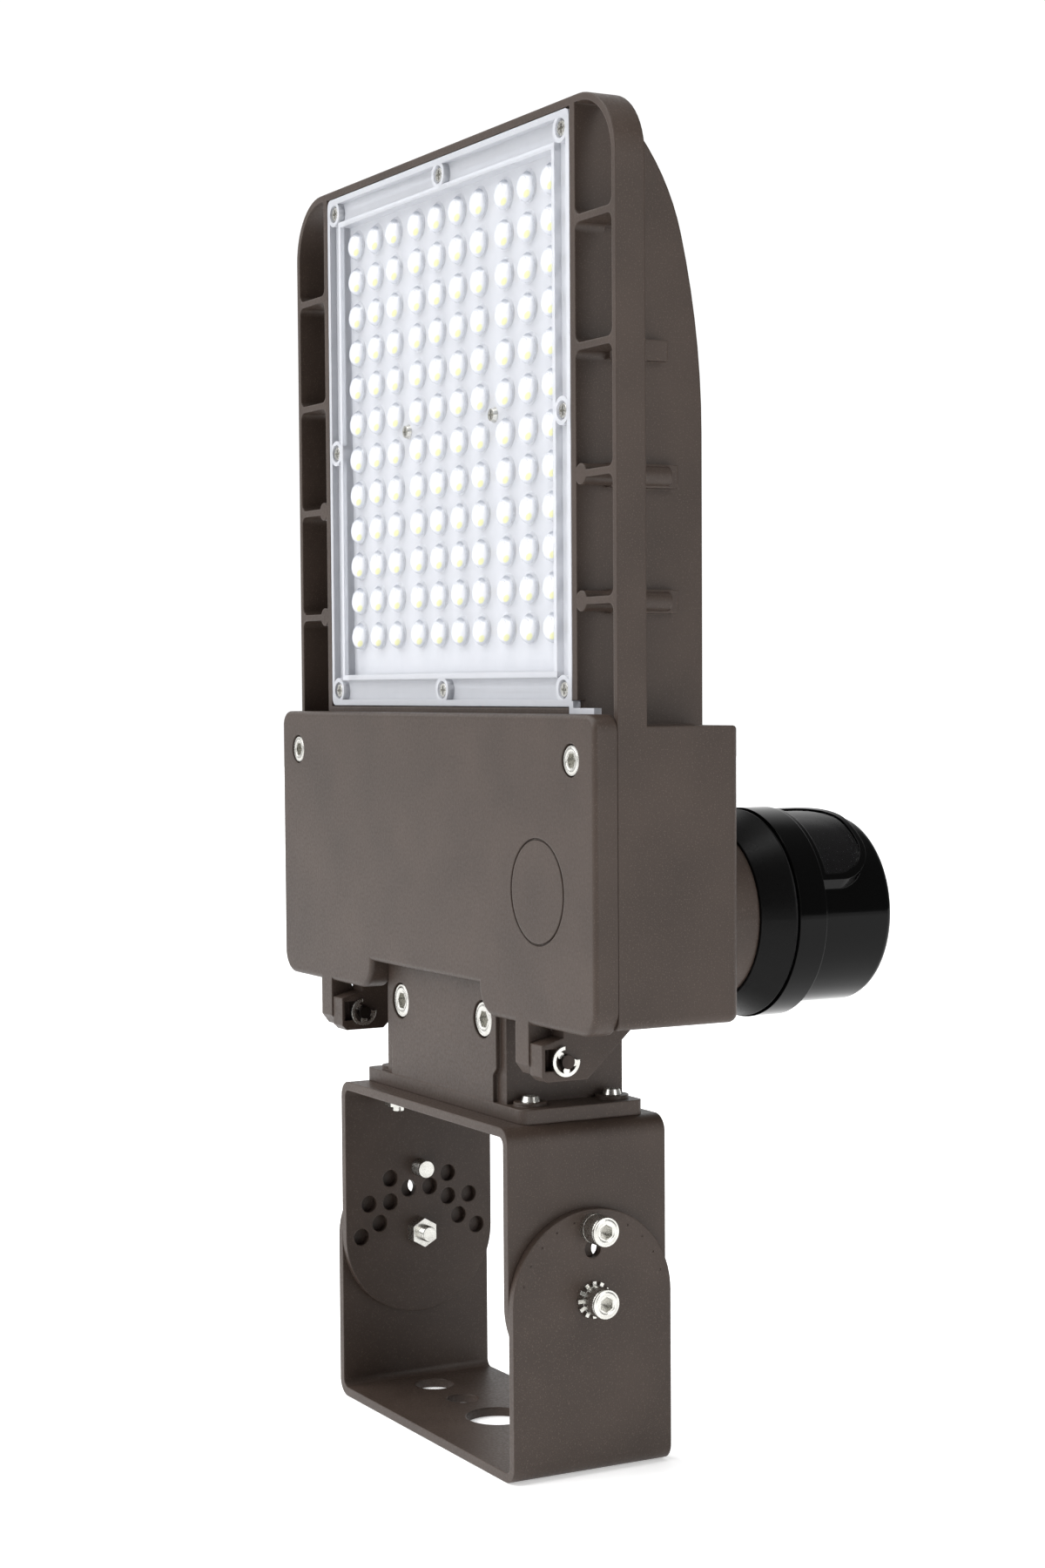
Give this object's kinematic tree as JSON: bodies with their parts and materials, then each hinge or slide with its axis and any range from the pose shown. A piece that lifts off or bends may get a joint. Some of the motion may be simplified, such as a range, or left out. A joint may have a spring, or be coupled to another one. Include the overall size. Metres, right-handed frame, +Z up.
{
  "type": "shoebox area light",
  "caption": "Pole-mounted shoebox LED area light in dark bronze: a flat optic head on a tilting double yoke, with a hinged driver door and a twist-lock photocell.",
  "frame": {"origin": "centre of the mounting hole pattern on the underside of the lower yoke's base", "axes": "+Z up along the upright head, +Y away from the lens towards the photocell, X along the tilt axis"},
  "size_m": [0.264, 0.1472, 0.5005],
  "materials": {
    "bronze_coat": "fine-textured dark bronze powder coat",
    "stainless": "bright plated steel",
    "black_oxide": "black oxide",
    "clear_plastic": "clear moulded polycarbonate",
    "smoked_plastic": "smoked moulded polycarbonate",
    "black_rubber": "moulded silicone",
    "clear_rubber": "translucent silicone",
    "grey_rubber": "soft closed-cell silicone",
    "white_board": "white solder mask",
    "green_board": "green solder mask",
    "phosphor": "yellow phosphor",
    "black_plastic": "satin",
    "gloss_black": "glossy polycarbonate",
    "brass": "stamped",
    "driver_case": "satin aluminium case",
    "white_plastic": "satin",
    "green_screw": "green dyed zinc",
    "red_lead": "PVC sleeve",
    "black_lead": "PVC sleeve",
    "white_lead": "PVC sleeve"
  },
  "bodies": {
    "base": {"lower_yoke": "bronze_coat", "pivot_screws": "stainless", "pivot_lock_washers": "stainless", "tilt_lock_screws": "stainless", "tilt_lock_washers": "stainless", "pivot_nuts": "stainless"},
    "head": {"upper_yoke": "bronze_coat", "tilt_lock_studs": "stainless", "slip_adapter": "bronze_coat", "foot_screws": "stainless", "foot_nuts": "stainless", "neck_screws": "stainless", "housing": "bronze_coat", "lens": "clear_plastic", "lens_gasket": "clear_rubber", "lamp_board": "white_board", "lamps": "phosphor", "lens_screws": "stainless", "board_screws": "stainless", "hinge_pins": "black_oxide", "hinge_clips": "stainless", "led_driver": "driver_case", "driver_screws": "stainless", "surge_protector": "black_plastic", "terminal_block": "white_plastic", "ground_screw": "green_screw", "lamp_lead_grommet": "black_rubber", "lamp_lead": "red_lead", "line_lead": "black_lead", "surge_lead": "white_lead"},
    "door": {"driver_door": "bronze_coat", "door_gasket": "grey_rubber", "door_screw_left": "stainless", "door_screw_right": "stainless"},
    "socket": {"photocell_socket": "black_plastic", "socket_screws": "stainless"},
    "photocell": {"photocell_gasket": "black_rubber", "photocell_base": "black_plastic", "photocell_cap": "gloss_black", "photocell_window": "smoked_plastic", "photocell_board": "green_board", "light_sensor": "clear_plastic", "photocell_blades": "brass"}
  },
  "joints": [
    {"name": "yoke_tilt", "type": "hinge", "parent": "base", "child": "head", "pos_m": [0, 0, 0.066], "axis": [1, 0, 0], "range_deg": [-90, 90]},
    {"name": "door_hinge", "type": "hinge", "parent": "head", "child": "door", "pos_m": [0, -0.0223, 0.1593], "axis": [1, 0, 0], "range_deg": [0, 110]},
    {"name": "photocell_turn", "type": "hinge", "parent": "head", "child": "socket", "pos_m": [0.0725, 0.066, 0.2075], "axis": [0, 1, 0], "range_deg": [-175, 175]},
    {"name": "photocell_pull", "type": "slide", "parent": "socket", "child": "photocell", "axis": [0, 1, 0], "range_m": [0, 0.025]}
  ]
}
